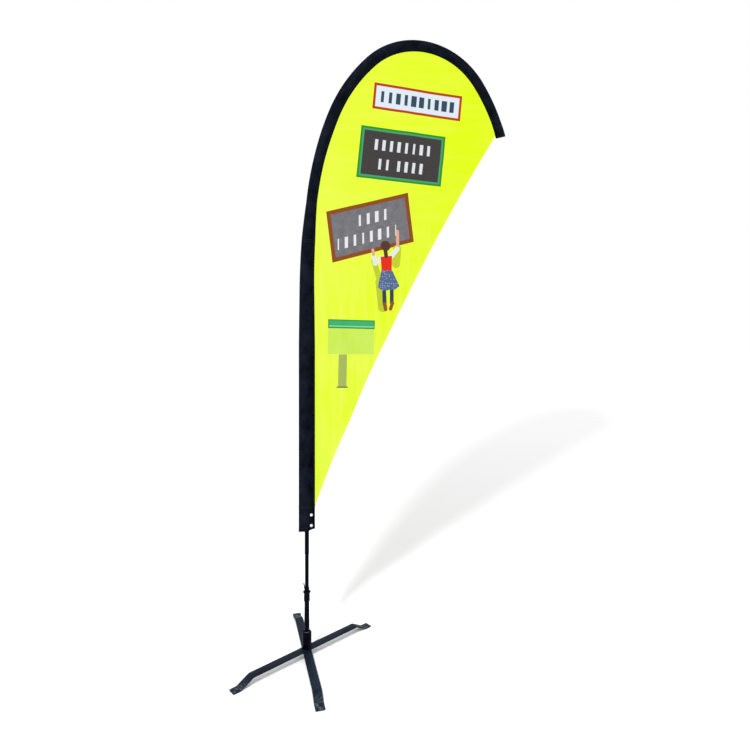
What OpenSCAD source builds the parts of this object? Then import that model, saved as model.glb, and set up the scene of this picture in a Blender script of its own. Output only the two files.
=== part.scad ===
// Teardrop flag on a scissor cross base.
// Millimetres, +Z up. The origin is on the ground under the spindle axis.
// The flag lies in the XZ plane and points to +X.

/* [Base bars] */
// Width of each flat bar
bar_w = 40; // [30:1:44]
// Thickness of each flat bar
bar_t = 5; // [4:0.5:5]
// Distance from the spindle axis to the end of a foot
bar_reach = 378; // [360:1:450]
// Length of the flat foot at the end of a bar
foot_len = 34; // [28:1:45]
// Length of the sloping stretch, measured along the ground
slope_len = 57; // [50:1:70]
// Inside radius of the bends in a bar
bend_r = 14; // [8:1:20]
// Height of the upper bar's underside above the ground
upper_bar_z = 30; // [30:0.5:34]
// Direction of the upper bar, in degrees from +X
upper_bar_az = 28; // [20:1:40]
// Direction of the lower bar, in degrees from +X
lower_bar_az = 90; // [80:1:110]

/* [Hub and bearings] */
// Outside diameter of the hub
hub_d = 42; // [40:0.5:48]
// Height of the hub above the upper bar
hub_h = 75; // [75:1:90]
// Outside diameter of a ball bearing
bearing_od = 35; // [35:35]
// Bore of a ball bearing
bearing_id = 15; // [15:15]
// Width of a ball bearing
bearing_w = 11; // [11:11]
// Balls in each bearing
ball_count = 8; // [6:1:8]
// Diameter of the pivot bolt through both bars
bolt_d = 10; // [8:1:10]

/* [Spindle] */
// Diameter of the spindle where it leaves the hub
spindle_d = 24; // [23:0.5:25]
// Diameter of the spindle tube at its top
spindle_top_d = 21.4; // [21:0.2:22]
// Height of the top of the spindle tube above the ground
spindle_top_z = 264; // [255:1:280]
// Diameter of the socket collar's flange
flange_d = 35; // [32:0.5:40]

/* [Pole] */
// Outside diameter of the bottom section and of the lower pole
pole_d = 17; // [17:17]
// Height of the joint between the bottom section and the ferrule
joint_z = 461; // [440:1:480]
// Height of the top of the bottom section
bottom_top_z = 590; // [560:1:595]
// Height of the top of the lower pole tube
lower_top_z = 1640; // [1600:1:1645]
// Diameter of the fibreglass bend rod
bend_rod_d = 12; // [11:0.5:12]
// Diameter of the fibreglass tip rod
tip_rod_d = 9; // [8:0.5:9]

/* [Flag] */
// Height at which the pole starts to bend
bend_z = 1653; // [1653:1653]
// Height of the bottom of the sleeve
hem_z = 565; // [555:1:575]
// Height of the flag panel's bottom corner
panel_z = 674; // [665:1:685]
// Depth of the hollow in the flag's free edge
free_edge_sag = 44; // [20:1:60]
// Thickness of the flag panel
panel_t = 0.6; // [0.5:0.1:1.5]
// Thickness of the cuff's layers pressed flat
cuff_t = 3; // [2.5:0.5:4]
// Thickness of the sleeve along its two sewn edges
seam_t = 1.5; // [1:0.5:3]
// Height of the lower eyelet
low_eyelet_z = 589; // [586:1:592]
// Height of the upper eyelet
high_eyelet_z = 637; // [630:1:645]
// Distance of the eyelets from the pole axis
eyelet_x = 20; // [20:0.5:24]
// Diameter of an eyelet's hole
eyelet_d = 8.5; // [7:0.5:9]

/* [Hidden] */
$fn = 64;

// Clearances: a push fit within one body, a running fit between two bodies
push = 0.02;
run = 0.08;

// The base stack, from the ground up
friction_washer_t = 1.3;
friction_washer_r = 17;
bar_gap = 1.5;
lower_bar_z = upper_bar_z - bar_gap - bar_t;
hub_z = upper_bar_z + bar_t;
hub_top = hub_z + hub_h;
bolt_head_h = 6.4;
bolt_head_af = 17;
bolt_grip = 12;
bolt_top = hub_z + bolt_grip;
bolt_washer_t = 2;
bolt_washer_r = 10;
bolt_washer_z = lower_bar_z - 0.2 - bolt_washer_t;

// The bearing stack inside the hub
low_bearing_z = hub_z + 17;
high_bearing_z = low_bearing_z + 38;
bearing_top = high_bearing_z + bearing_w;
race_lip = 1.8;
clip_t = 1.5;
clip_groove_h = 1.7;
seal_z = bearing_top + 2;
seal_h = 6.5;
ball_d = 5.9;
groove_d = 6.2;
pitch_r = (bearing_od + bearing_id) / 4;

// The spindle
spigot_z = hub_top + 2;
socket_r = pole_d / 2 + run;
socket_floor = spigot_z + 38;
stop_t = 5;
pole_foot = socket_floor + stop_t + 0.1;
barrel_z = spindle_top_z - 16;
flange_z = spindle_top_z + 22;
flange_t = 8;
hook_z = flange_z + 17;

// The pole tubes and the collars on them
tube_wall = 2;
plug_t = 2;
barrel_r = 13.4;
hook_band_r = pole_d / 2 + 2.2;
ferrule_r = pole_d / 2 + 1.2;
ferrule_len = 180;

// The pole's curve: radius and turn of each arc, tangent to the one before
bends = [[3770, 6.2], [1530, 15.8], [773, 24], [359, 98.4], [846, 19.1]];
ferrule_at = 1005;
tip_at = 2030;
crown_from = 230;
crown_to = 1236;
patch_at = 1990;
corner_at = 2040;
sleeve_end = 2052;
ring_step = 44;
rod_step = 15;
rod_sides = 12;

// Full width of the sleeve, and radius of the pocket for the pole, along the curve
sleeve_widths = [[-250, 74], [0, 68], [230, 63], [400, 50], [600, 51], [750, 54], [1750, 56], [2052, 52]];
pocket_radii = [[-10, 9.1], [60, 6.6], [900, 6.6], [940, 8.2], [1070, 8.2], [1110, 5.4], [2000, 5.4]];
pocket_wall = 1.2;
tip_cap_r = 5.8;
eyelet_flange_t = 0.8;
eyelet_flange_r = 6.75;
eyelet_barrel_r = eyelet_d / 2 + 0.8;

function arc_len(b) = b[0] * b[1] * PI / 180;

// [x, z, heading] at distance s along the pole's curve; heading turns from +Z towards +X
function path(s, i = 0, x = 0, z = bend_z, h = 0) =
    s <= 0 && i == 0 ? [0, bend_z + s, 0] :
    let (b = bends[i], last = i == len(bends) - 1, r = b[0])
    let (turn = s <= arc_len(b) || last ? s / r * 180 / PI : b[1])
    let (nx = x + r * (cos(h) - cos(h + turn)), nz = z + r * (sin(h + turn) - sin(h)))
    s <= arc_len(b) || last ? [nx, nz, h + turn] : path(s - arc_len(b), i + 1, nx, nz, h + b[1]);

// Distance along the curve at which arc i starts
function arc_start(i) = i == 0 ? 0 : arc_start(i - 1) + arc_len(bends[i - 1]);

// Point beside the pole's axis: n is the offset towards the flag
function beside(s, n) = let (p = path(s)) [p[0] + n * cos(p[2]), p[1] - n * sin(p[2])];

// Distances between two ends at which the sleeve has a ring of points
function stations(from, to) =
    concat([from], [for (s = [-250, each [0 : ring_step : sleeve_end]])
        if (s > from + ring_step / 3 && s < to - ring_step / 3) s], [to]);

// A bent tube on arc i of the pole's axis, between distances a and b
module bent_tube(i, a, b, r_out, r_in) {
    r = bends[i][0];
    p = path(arc_start(i));
    turn_a = (a - arc_start(i)) / r * 180 / PI;
    turn_b = (b - arc_start(i)) / r * 180 / PI;
    translate([p[0] + r * cos(p[2]), 0, p[1] - r * sin(p[2])])
        rotate([90, 0, 0])
            rotate([0, 0, 180 - p[2] - turn_b])
                rotate_extrude(angle = turn_b - turn_a)
                    translate([r, 0])
                        difference() {
                            circle(r_out);
                            circle(r_in);
                        }
}

// Puts its children at distance s, with +Z along the pole
module at(s) {
    p = path(s);
    translate([p[0], 0, p[1]]) rotate([0, p[2], 0]) children();
}

module ring(z, h, r_out, r_in) {
    translate([0, 0, z])
        difference() {
            cylinder(h = h, r = r_out);
            translate([0, 0, -1]) cylinder(h = h + 2, r = r_in);
        }
}

// ---------------------------------------------------------------- base

// Points round one bend, about the centre [r, z]
function bend_arc(r, z, rad, from, to) =
    [for (k = [0 : 5]) let (a = from + (to - from) * k / 5) [r + rad * cos(a), z + rad * sin(a)]];

// Side view of one arm as [r, z]: its underside at a lift of 0, its top at a lift of bar_t.
// The arm stands rise above the ground at the hub.
function arm_line(rise, lift) =
    let (a = atan2(rise, slope_len), foot_r = bar_reach - foot_len, top_r = foot_r - slope_len)
    let (setback = (bend_r + bar_t) * tan(a / 2), up_rad = bend_r + lift, dn_rad = bend_r + bar_t - lift)
    concat(bend_arc(top_r - setback, rise - bend_r, up_rad, 90, 90 - a),
           bend_arc(foot_r + setback, bar_t + bend_r, dn_rad, 270 - a, 270),
           [[bar_reach, lift]]);

module bar(z0, hole_r) {
    under = arm_line(z0, 0);
    over = arm_line(z0, bar_t);
    n = len(under);
    side = concat(under, [for (k = [n - 1 : -1 : 0]) over[k]],
                  [for (k = [0 : n - 1]) [-over[k][0], over[k][1]]],
                  [for (k = [n - 1 : -1 : 0]) [-under[k][0], under[k][1]]]);
    c = 3;
    w = bar_w / 2;
    plan = [[bar_reach, w - c], [bar_reach - c, w], [-bar_reach + c, w], [-bar_reach, w - c],
            [-bar_reach, c - w], [-bar_reach + c, -w], [bar_reach - c, -w], [bar_reach, c - w]];
    difference() {
        intersection() {
            translate([0, w + 1, 0]) rotate([90, 0, 0]) linear_extrude(bar_w + 2) polygon(side);
            translate([0, 0, -1]) linear_extrude(z0 + bar_t + 2) polygon(plan);
        }
        translate([0, 0, z0 - 1]) cylinder(h = bar_t + 2, r = hole_r);
    }
}

module upper_bar() {
    color([0.12, 0.16, 0.22])
        rotate([0, 0, upper_bar_az]) bar(upper_bar_z, bolt_d / 2 + run);
}

module lower_bar() {
    color([0.12, 0.16, 0.22])
        rotate([0, 0, lower_bar_az]) bar(lower_bar_z, bolt_d / 2 + run);
}

module hub_weld() {
    bead = 4;
    color([0.10, 0.13, 0.18])
        intersection() {
            rotate_extrude()
                polygon([[hub_d / 2, hub_z], [hub_d / 2 + bead, hub_z], [hub_d / 2, hub_z + bead]]);
            rotate([0, 0, upper_bar_az])
                translate([-hub_d, 1 - bar_w / 2, hub_z - 1]) cube([2 * hub_d, bar_w - 2, bead + 2]);
        }
}

module hub_housing() {
    chamfer = 2;
    relief = 4;
    ledge = 2.5;
    seat_r = bearing_od / 2;
    color([0.08, 0.09, 0.13])
        difference() {
            rotate_extrude()
                polygon([[0, hub_z], [hub_d / 2, hub_z], [hub_d / 2, hub_top - chamfer],
                         [hub_d / 2 - chamfer, hub_top], [0, hub_top]]);
            translate([0, 0, hub_z - 1]) cylinder(h = bolt_grip + 1.5, r = bolt_d / 2 + push);
            translate([0, 0, low_bearing_z - relief]) cylinder(h = relief + 1, r = seat_r - ledge);
            translate([0, 0, low_bearing_z]) cylinder(h = hub_h, r = seat_r);
            translate([0, 0, bearing_top]) cylinder(h = clip_groove_h, r = seat_r + 0.9);
        }
}

module pivot_bolt() {
    head_z = bolt_washer_z - bolt_head_h;
    color([0.45, 0.46, 0.48]) {
        translate([0, 0, head_z])
            intersection() {
                cylinder(h = bolt_head_h, r = bolt_head_af / sqrt(3), $fn = 6);
                cylinder(h = bolt_head_h, r1 = bolt_head_af / 2, r2 = bolt_head_af / 2 + 5);
            }
        translate([0, 0, head_z + bolt_head_h - 0.1])
            cylinder(h = bolt_top - head_z - bolt_head_h + 0.1, r = bolt_d / 2);
    }
}

module bolt_washer() {
    color([0.55, 0.56, 0.58]) ring(bolt_washer_z, bolt_washer_t, bolt_washer_r, bolt_d / 2 + 0.25);
}

module friction_washer() {
    color([0.85, 0.85, 0.80])
        ring(lower_bar_z + bar_t, friction_washer_t, friction_washer_r, bolt_d / 2 + 0.25);
}

// Both bearings share these heights
module each_bearing() {
    for (z = [low_bearing_z, high_bearing_z]) translate([0, 0, z + bearing_w / 2]) children();
}

module ball_groove() {
    rotate_extrude() translate([pitch_r, 0]) circle(d = groove_d);
}

module bearing_outer_rings() {
    color([0.72, 0.73, 0.75])
        each_bearing()
            difference() {
                ring(-bearing_w / 2, bearing_w, bearing_od / 2 - push, pitch_r + race_lip);
                ball_groove();
            }
}

module bearing_inner_rings() {
    color([0.72, 0.73, 0.75])
        each_bearing()
            difference() {
                ring(-bearing_w / 2, bearing_w, pitch_r - race_lip, bearing_id / 2 + push);
                ball_groove();
            }
}

module bearing_balls() {
    color([0.85, 0.86, 0.88])
        each_bearing()
            for (k = [1 : ball_count])
                rotate([0, 0, k * 360 / ball_count]) translate([pitch_r, 0, 0]) sphere(d = ball_d);
}

module bearing_cages() {
    cage_h = 8;
    half_t = 1;
    color([0.75, 0.62, 0.35])
        each_bearing()
            difference() {
                ring(-cage_h / 2, cage_h, pitch_r + half_t, pitch_r - half_t);
                for (k = [1 : ball_count])
                    rotate([0, 0, k * 360 / ball_count])
                        translate([pitch_r - half_t - 2, 0, 0])
                            rotate([0, 90, 0]) cylinder(h = 2 * half_t + 4, d = ball_d + 0.2);
            }
}

module outer_spacer() {
    color([0.50, 0.51, 0.53])
        ring(low_bearing_z + bearing_w, high_bearing_z - low_bearing_z - bearing_w,
             bearing_od / 2 - push, bearing_od / 2 - 2.3);
}

module inner_spacer() {
    color([0.50, 0.51, 0.53])
        ring(low_bearing_z + bearing_w, high_bearing_z - low_bearing_z - bearing_w,
             bearing_id / 2 + 2, bearing_id / 2 + push);
}

// An open ring with a gap of the given width on its -X side
module open_ring(z, h, r_out, r_in, gap) {
    difference() {
        ring(z, h, r_out, r_in);
        translate([-r_out - 1, -gap / 2, z - 1]) cube([r_out + 1, gap, h + 2]);
    }
}

module housing_circlip() {
    color([0.30, 0.31, 0.33])
        open_ring(bearing_top + 0.1, clip_t, bearing_od / 2 + 0.8, bearing_od / 2 - 1.8, 9);
}

module shaft_circlip() {
    color([0.30, 0.31, 0.33])
        open_ring(low_bearing_z - 0.1 - clip_t, clip_t, bearing_id / 2 + 2.4, bearing_id / 2 - 0.45, 7);
}

module dust_seal() {
    color([0.06, 0.06, 0.07]) ring(seal_z, seal_h, bearing_od / 2 - push, spindle_d / 2 + run);
}

// ------------------------------------------------------------- spindle

module spindle_shaft() {
    shaft_z = low_bearing_z - 3;
    color([0.20, 0.21, 0.24])
        difference() {
            union() {
                translate([0, 0, shaft_z]) cylinder(h = bearing_top - shaft_z, d = bearing_id);
                translate([0, 0, bearing_top])
                    cylinder(h = spigot_z - bearing_top, d = spindle_d);
                translate([0, 0, spigot_z])
                    cylinder(h = socket_floor - spigot_z, r = socket_r - push);
            }
            ring(low_bearing_z - clip_groove_h, clip_groove_h, bearing_id, bearing_id / 2 - 0.5);
        }
}

module spindle_tube() {
    color([0.09, 0.11, 0.16])
        difference() {
            union() {
                translate([0, 0, spigot_z])
                    cylinder(h = barrel_z - 2 - spigot_z, d1 = spindle_d, d2 = spindle_top_d);
                translate([0, 0, barrel_z - 2])
                    cylinder(h = spindle_top_z - barrel_z + 2, d = spindle_top_d);
            }
            translate([0, 0, spigot_z - 1])
                cylinder(h = spindle_top_z - spigot_z + 2, r = socket_r);
        }
}

module socket_stop() {
    color([0.05, 0.05, 0.06])
        translate([0, 0, socket_floor]) cylinder(h = stop_t, r = socket_r - push);
}

module socket_collar() {
    barrel_h = flange_z - barrel_z;
    rim = flange_d / 2;
    color([0.05, 0.06, 0.09])
        difference() {
            rotate_extrude()
                polygon([[0, barrel_z], [barrel_r - 0.8, barrel_z], [barrel_r, barrel_z + 4],
                         [barrel_r, barrel_z + barrel_h / 2],
                         [barrel_r - 0.6, barrel_z + barrel_h - 6],
                         [barrel_r, flange_z], [rim - 1.5, flange_z + 1.5], [rim, flange_z + 4],
                         [rim - 1, flange_z + flange_t - 1.5], [rim - 5, flange_z + flange_t - 2.5],
                         [11.5, flange_z + flange_t], [0, flange_z + flange_t]]);
            translate([0, 0, barrel_z - 1])
                cylinder(h = spindle_top_z - barrel_z + 1, r = spindle_top_d / 2 + push);
            translate([0, 0, barrel_z]) cylinder(h = barrel_h + flange_t + 1, r = socket_r);
        }
}

// ---------------------------------------------------------------- pole

module bottom_section() {
    color([0.08, 0.09, 0.12])
        ring(pole_foot + plug_t, bottom_top_z - pole_foot - plug_t, pole_d / 2, pole_d / 2 - tube_wall);
}

module bottom_plug() {
    color([0.05, 0.05, 0.06]) {
        translate([0, 0, pole_foot]) cylinder(h = plug_t, d = pole_d);
        translate([0, 0, pole_foot + plug_t]) cylinder(h = 15, r = pole_d / 2 - tube_wall - push);
    }
}

// A clamp ring with an upward prong that flares away from the pole
module hook_collar() {
    root = pole_d / 2 + 0.6;
    color([0.05, 0.06, 0.09])
        difference() {
            union() {
                translate([0, 0, hook_z - 4]) cylinder(h = 12, r = hook_band_r);
                translate([0, 4, 0])
                    rotate([90, 0, 0])
                        linear_extrude(8)
                            polygon([[-root, hook_z - 3], [-root - 1.6, hook_z - 2],
                                     [-root - 2.2, hook_z + 9], [-root - 3.6, hook_z + 20],
                                     [-root - 6.2, hook_z + 26], [-root - 5.6, hook_z + 28],
                                     [-root - 3.6, hook_z + 27], [-root - 1.4, hook_z + 20],
                                     [-root - 0.2, hook_z + 12], [-root, hook_z + 7]]);
            }
            translate([0, 0, hook_z - 5]) cylinder(h = 40, r = pole_d / 2 + push);
        }
}

module lower_ferrule() {
    color([0.08, 0.09, 0.12])
        ring(joint_z, ferrule_len, ferrule_r, pole_d / 2 + run);
}

module lower_pole() {
    color([0.08, 0.09, 0.12])
        ring(bottom_top_z + 5, lower_top_z - bottom_top_z - 5, pole_d / 2, bend_rod_d / 2 + 0.2);
}

module rod_stop_ring() {
    color([0.60, 0.61, 0.63])
        ring(lower_top_z + 0.1, 10, pole_d / 2, bend_rod_d / 2 + push);
}

// A rod swept along the pole's axis between distances a and b, tapering from r_a to r_b
module rod(a, b, r_a, r_b) {
    steps = ceil((b - a) / rod_step);
    rings = [for (k = [0 : steps]) let (f = k / steps)
        placed(a + f * (b - a), [for (j = [0 : rod_sides - 1]) let (t = j * 360 / rod_sides)
            (r_a + f * (r_b - r_a)) * [-cos(t), sin(t)]])];
    last = steps * rod_sides;
    polyhedron([for (r = rings) each r],
        concat([for (i = [0 : steps - 1]) each band(i * rod_sides, (i + 1) * rod_sides, rod_sides)],
               [[for (j = [rod_sides - 1 : -1 : 0]) j]], [[for (j = [0 : rod_sides - 1]) last + j]]));
}

module bend_rod() {
    color([0.10, 0.10, 0.11]) rod(-113, ferrule_at - 1, bend_rod_d / 2, bend_rod_d / 2);
}

module tip_ferrule() {
    wall_r = bend_rod_d / 2 + 1.6;
    color([0.60, 0.61, 0.63]) {
        bent_tube(2, ferrule_at - 50, ferrule_at, wall_r, bend_rod_d / 2 + run);
        bent_tube(2, ferrule_at, ferrule_at + 50, wall_r, tip_rod_d / 2 + run);
    }
}

module tip_rod() {
    color([0.10, 0.10, 0.11]) rod(ferrule_at + 1, tip_at - 0.1, tip_rod_d / 2, tip_rod_d / 2 - 1);
}

module tip_cap() {
    grip = 12;
    color([0.05, 0.05, 0.06])
        at(tip_at)
            difference() {
                union() {
                    translate([0, 0, -grip]) cylinder(h = grip + 1, r = tip_cap_r);
                    translate([0, 0, 1]) cylinder(h = 4, r1 = tip_cap_r, r2 = tip_cap_r - 3);
                }
                translate([0, 0, -grip - 1]) cylinder(h = grip + 1, r = tip_rod_d / 2 - 0.85);
            }
}

// ---------------------------------------------------------------- flag

// One ring of the sleeve's outline: a rounded ridge round the pole, with flat sides that run
// straight down from it to the two sewn edges
function sleeve_ring(s, grow = 0) =
    let (half = lookup(s, sleeve_widths) / 2 + grow, t = seam_t / 2 + grow)
    let (r = lookup(s, pocket_radii) + pocket_wall + grow)
    let (edge = 180 - atan2(t, half) - acos(r / sqrt(half * half + t * t)))
    let (arc = [for (k = [0 : 7]) let (a = edge - k * (2 * edge - 180) / 7) [r * cos(a), r * sin(a)]])
    concat([[-half, t]], arc, [[half, t], [half, -t]],
           [for (k = [7 : -1 : 0]) [arc[k][0], -arc[k][1]]], [[-half, -t]]);

// One ring of the pocket that holds the pole
function pocket_ring(r) = [for (k = [0 : 19]) [-r * cos(k * 18 + 9), r * sin(k * 18 + 9)]];

// Places a ring's [n, y] points at distance s along the pole
function placed(s, ring) = [for (q = ring) let (p = beside(s, q[0])) [p[0], q[1], p[1]]];

// Triangles between ring a and ring b of m points each
function band(a, b, m) =
    [for (k = [0 : m - 1], half = [0, 1])
        let (l = (k + 1) % m)
        half == 0 ? [a + k, a + l, b + l] : [a + k, b + l, b + k]];

// A closed skin between a swept outline and a swept pocket, both rings of m points.
// The pocket runs through, unless the skin is closed at its far end.
module skin(outer, inner, m) {
    n = len(outer);
    points = concat([for (r = outer) each r], [for (r = inner) each r]);
    base = n * m;
    faces = concat(
        [for (i = [0 : n - 2]) each band(i * m, (i + 1) * m, m)],
        [for (i = [0 : len(inner) - 2]) each band(base + (i + 1) * m, base + i * m, m)],
        band(base, 0, m),
        n == len(inner) ? band((n - 1) * m, base + (n - 1) * m, m) :
            [[for (k = [0 : m - 1]) (n - 1) * m + k],
             [for (k = [m - 1 : -1 : 0]) base + (len(inner) - 1) * m + k]]);
    polyhedron(points, faces);
}

ring_points = 20;
seam_gap = 0.1;

// A length of the sleeve between distances a and b
module sleeve_length(a, b) {
    at_s = stations(a, b);
    color([0.07, 0.07, 0.10])
        skin([for (s = at_s) placed(s, sleeve_ring(s))],
             [for (s = at_s) placed(s, pocket_ring(lookup(s, pocket_radii)))], ring_points);
}

module sleeve_lower() {
    sleeve_length(panel_z + 0.3 - bend_z, crown_from);
}

module sleeve_crown() {
    sleeve_length(crown_from + seam_gap, crown_to);
}

module sleeve_tip() {
    sleeve_length(crown_to + seam_gap, patch_at - 0.3);
}

module tip_patch() {
    outer_s = [patch_at, (patch_at + sleeve_end) / 2, sleeve_end - 0.6];
    inner_s = [patch_at, (patch_at + tip_at) / 2, tip_at + 8];
    color([0.05, 0.05, 0.07])
        skin([for (s = outer_s) placed(s, sleeve_ring(s, 0.2 + (s - patch_at) / 60))],
             [for (s = inner_s) placed(s, pocket_ring(tip_cap_r + 0.3))], ring_points);
}

// Both eyelets share this place in the cuff, with +Z across it
module each_eyelet() {
    for (z = [low_eyelet_z, high_eyelet_z]) translate([eyelet_x, 0, z]) rotate([90, 0, 0]) children();
}

module sleeve_cuff() {
    half_w = lookup(-900, sleeve_widths) / 2;
    pocket = ferrule_r + 0.4;
    slope = 14;
    color([0.06, 0.06, 0.09])
        difference() {
            translate([0, 0, hem_z])
                linear_extrude(panel_z - hem_z)
                    difference() {
                        union() {
                            circle(pocket + pocket_wall);
                            translate([-half_w, -cuff_t / 2]) square([2 * half_w, cuff_t]);
                        }
                        circle(pocket);
                    }
            each_eyelet()
                translate([0, 0, -10]) cylinder(h = 20, r = eyelet_barrel_r + 2 * push);
            translate([0, -20, hem_z])
                rotate([0, -slope, 0]) translate([0, 0, -20]) cube([2 * half_w, 40, 20]);
        }
}

module eyelets() {
    color([0.80, 0.81, 0.83])
        each_eyelet() {
            ring(cuff_t / 2, eyelet_flange_t, eyelet_flange_r, eyelet_d / 2);
            ring(-cuff_t / 2 - eyelet_flange_t, cuff_t + eyelet_flange_t, eyelet_barrel_r, eyelet_d / 2);
        }
}

module eyelet_washers() {
    color([0.75, 0.76, 0.78])
        each_eyelet()
            ring(-cuff_t / 2 - eyelet_flange_t, eyelet_flange_t, eyelet_flange_r, eyelet_barrel_r + push);
}

// Outline of the panel: up beside the sleeve, then back down the hollow free edge
function panel_outline() =
    let (at_s = stations(panel_z + 0.3 - bend_z, patch_at - 0.3))
    let (up = [for (s = at_s) beside(s, lookup(s, sleeve_widths) / 2 + 0.3)])
    let (top = beside(corner_at, lookup(corner_at, sleeve_widths) / 2 + 2.6), low = up[0])
    let (dx = low[0] - top[0], dz = low[1] - top[1], chord = sqrt(dx * dx + dz * dz))
    let (across = [dz / chord, -dx / chord])
    concat(up, [for (k = [0 : 23])
        let (f = k / 24, sag = free_edge_sag * 4 * f * (1 - f))
        [top[0] + f * dx + sag * across[0], top[1] + f * dz + sag * across[1]]]);

module flag_panel() {
    color([0.90, 1.00, 0.15])
        translate([0, panel_t / 2, 0])
            rotate([90, 0, 0]) linear_extrude(panel_t) polygon(panel_outline());
}

upper_bar();
hub_weld();
hub_housing();
pivot_bolt();
bolt_washer();
bearing_outer_rings();
outer_spacer();
housing_circlip();
dust_seal();
lower_bar();
friction_washer();
spindle_shaft();
spindle_tube();
socket_collar();
bearing_inner_rings();
inner_spacer();
shaft_circlip();
socket_stop();
bearing_balls();
bearing_cages();
bottom_section();
bottom_plug();
hook_collar();
lower_ferrule();
lower_pole();
rod_stop_ring();
bend_rod();
tip_ferrule();
tip_rod();
tip_cap();
sleeve_lower();
sleeve_crown();
sleeve_tip();
sleeve_cuff();
tip_patch();
eyelets();
eyelet_washers();
flag_panel();
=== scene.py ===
import math

import bmesh
import bpy
import numpy as np
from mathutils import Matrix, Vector, noise
from mathutils.geometry import delaunay_2d_cdt
from mathutils.kdtree import KDTree


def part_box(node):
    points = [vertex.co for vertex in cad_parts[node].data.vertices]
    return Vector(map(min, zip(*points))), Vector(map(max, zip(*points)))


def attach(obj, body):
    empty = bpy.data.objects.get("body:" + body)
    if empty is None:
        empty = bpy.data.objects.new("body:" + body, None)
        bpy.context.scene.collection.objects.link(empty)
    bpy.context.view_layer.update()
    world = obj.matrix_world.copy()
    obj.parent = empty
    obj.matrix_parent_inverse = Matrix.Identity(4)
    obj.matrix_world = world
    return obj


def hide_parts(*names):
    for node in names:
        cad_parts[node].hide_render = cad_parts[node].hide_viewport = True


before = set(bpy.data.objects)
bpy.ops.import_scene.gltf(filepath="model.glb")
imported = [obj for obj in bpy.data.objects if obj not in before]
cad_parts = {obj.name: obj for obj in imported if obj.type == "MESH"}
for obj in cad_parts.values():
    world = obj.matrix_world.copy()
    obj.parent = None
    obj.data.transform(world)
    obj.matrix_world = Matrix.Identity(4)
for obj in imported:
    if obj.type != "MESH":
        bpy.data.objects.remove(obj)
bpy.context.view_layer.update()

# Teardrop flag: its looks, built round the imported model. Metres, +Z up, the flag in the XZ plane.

MM = 0.001
TAU = 2 * math.pi

# -------- sizes, as in the CAD

# The pole's curve: where it starts to bend, then the radius and turn in degrees of each arc
BEND_Z = 1.653
BENDS = ((3.770, 6.2), (1.530, 15.8), (0.773, 24.0), (0.359, 98.4), (0.846, 19.1))
# Full width of the sleeve, and radius of its ridge over the pole, along the curve
SLEEVE_WIDTHS = ((-0.250, 0.074), (0, 0.068), (0.230, 0.063), (0.400, 0.050), (0.600, 0.051),
                 (0.750, 0.054), (1.750, 0.056), (2.052, 0.052))
SLEEVE_RIDGES = ((-0.010, 0.0103), (0.060, 0.0078), (0.900, 0.0078), (0.940, 0.0094),
                 (1.070, 0.0094), (1.110, 0.0066), (2.000, 0.0066))
SLEEVE_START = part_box("sleeve_lower")[0][2] - BEND_Z
CROWN_FROM, CROWN_TO = 0.230, 1.236
PATCH_AT, CORNER_AT, PATCH_END = 1.990, 2.040, 2.0510
FREE_EDGE_SAG = 0.044
# The fold along the panel's free edge
HEM_W = 11 * MM

(_, _, CUFF_LOW), (CUFF_HALF, _, CUFF_TOP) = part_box("sleeve_cuff")
CUFF_HALF_T = 1.5 * MM
CUFF_RIDGE = 11.3 * MM
CUFF_SLOPE = math.tan(math.radians(14))
# The cuff's bottom hem, as a share of the cuff's height
HEM_SHARE = 0.17

UPPER_BAR_AZ, LOWER_BAR_AZ = math.radians(28), math.radians(90)
BAR_W, BAR_T, BAR_REACH = 0.040, 0.005, 0.378
FOOT_LEN, SLOPE_LEN, BEND_R = 0.034, 0.057, 0.014


def lookup(s, table):
    """The value at s in a table of (s, value), in straight lines between its entries."""
    return float(np.interp(s, [row[0] for row in table], [row[1] for row in table]))


def path(s):
    """Where the pole's axis is at distance s along the curve: x, z and heading from +Z towards +X."""
    x, z, heading = 0.0, BEND_Z, 0.0
    if s <= 0:
        return x, z + s, heading
    for k, (radius, degrees) in enumerate(BENDS):
        last = k == len(BENDS) - 1
        turn = s / radius if last else min(s / radius, math.radians(degrees))
        x += radius * (math.cos(heading) - math.cos(heading + turn))
        z += radius * (math.sin(heading + turn) - math.sin(heading))
        heading += turn
        s -= radius * turn
        if s <= 1e-9:
            break
    return x, z, heading


def beside(s, n, y=0.0):
    """The point at distance s along the pole, n to the flag's side of its axis and y behind it."""
    x, z, heading = path(s)
    return Vector((x + n * math.cos(heading), y, z - n * math.sin(heading)))


def half_width(s):
    return lookup(s, SLEEVE_WIDTHS) / 2


def smooth_step(value, low, high):
    t = min(max((value - low) / (high - low), 0.0), 1.0)
    return t * t * (3 - 2 * t)


def round_span(node):
    """A round CAD node's outside radius, and its lowest and highest z."""
    low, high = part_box(node)
    return high[1], low[2], high[2]


def new_object(name, data):
    obj = bpy.data.objects.new(name, data)
    bpy.context.collection.objects.link(obj)
    return obj


def make_camera():
    data = bpy.data.cameras.new("camera")
    data.lens = 26.88
    data.sensor_width = 36
    data.shift_y = -0.0667
    data.clip_end = 200
    camera = new_object("camera", data)
    camera.location = (-0.359, -2.534, 1.5)
    camera.rotation_euler = (math.pi / 2, 0, math.radians(-15))
    bpy.context.scene.camera = camera


make_camera()

# -------- materials

# How bright the lit front of the flag is, as a share of a white card's colour
FRONT_LIGHT = 1.37


def srgb(*screen):
    """A screen colour from 0 to 255 as a linear one."""
    return tuple(c / 12.92 if c <= 0.04045 else ((c + 0.055) / 1.055) ** 2.4
                 for c in (v / 255 for v in screen))


def ink(*screen):
    """A print colour that shows as this screen colour on the lit flag."""
    return tuple(c / FRONT_LIGHT for c in srgb(*screen))


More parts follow.
